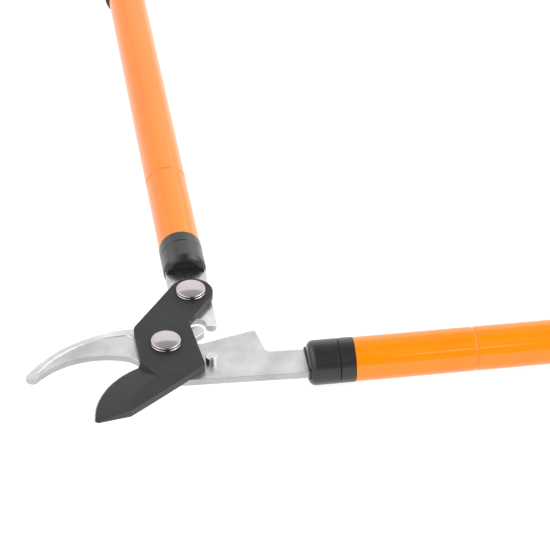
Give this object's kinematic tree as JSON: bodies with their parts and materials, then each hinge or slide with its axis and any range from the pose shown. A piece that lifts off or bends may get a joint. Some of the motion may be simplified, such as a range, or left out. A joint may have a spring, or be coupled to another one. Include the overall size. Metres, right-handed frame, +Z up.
{
  "type": "bypass loppers",
  "caption": "Bypass lopper with a geared second lever: curved hook, dark coated blade, round tube handles with grips, jaws open.",
  "frame": {"origin": "centre of the bounding box's bottom face, with the tool lying flat on its two grips and the jaws open", "axes": "+X along the hook-side handle away from the jaws, +Z up through the bolt heads"},
  "size_m": [0.7176, 0.6872, 0.034],
  "materials": {
    "satin_steel": "satin, ground",
    "polished_steel": "polished",
    "blade_coating": "satin non-stick coating",
    "bolt_chrome": "polished",
    "zinc_steel": "zinc plated",
    "nylon": "natural nylon",
    "orange_paint": "gloss powder coat",
    "collar_plastic": "fine satin",
    "plug_plastic": "moulded",
    "grip_rubber": "soft matt"
  },
  "bodies": {
    "hook_handle": {"hook_plate": "satin_steel", "stop_pin": "polished_steel", "lower_collar_cap": "collar_plastic", "lower_collar_ring": "collar_plastic", "lower_tang_plug": "plug_plastic", "lower_handle_tube": "orange_paint", "lower_grip": "grip_rubber", "lower_end_plug": "plug_plastic"},
    "blade": {"cutting_blade": "blade_coating", "main_pivot_bolt": "bolt_chrome", "main_washer": "zinc_steel", "main_lock_nut": "zinc_steel", "main_nut_insert": "nylon", "link_pivot_bolt": "bolt_chrome", "link_washer": "zinc_steel", "link_lock_nut": "zinc_steel", "link_nut_insert": "nylon"},
    "lever_handle": {"drive_lever": "satin_steel", "upper_collar_cap": "collar_plastic", "upper_collar_ring": "collar_plastic", "upper_tang_plug": "plug_plastic", "upper_handle_tube": "orange_paint", "upper_grip": "grip_rubber", "upper_end_plug": "plug_plastic"}
  },
  "joints": [
    {"name": "blade_pivot", "type": "hinge", "parent": "hook_handle", "child": "blade", "pos_m": [-0.27067, -0.27837, 0.017], "axis": [0, 0, -1], "range_deg": [-2, 42.5]},
    {"name": "lever_pivot", "type": "hinge", "parent": "blade", "child": "lever_handle", "pos_m": [-0.24959, -0.22811, 0.017], "axis": [0, 0, -1], "range_deg": [-1.58, 33.08]}
  ],
  "couplings": [
    {"joint": "lever_pivot", "follows": "blade_pivot", "ratio": 0.77778}
  ]
}
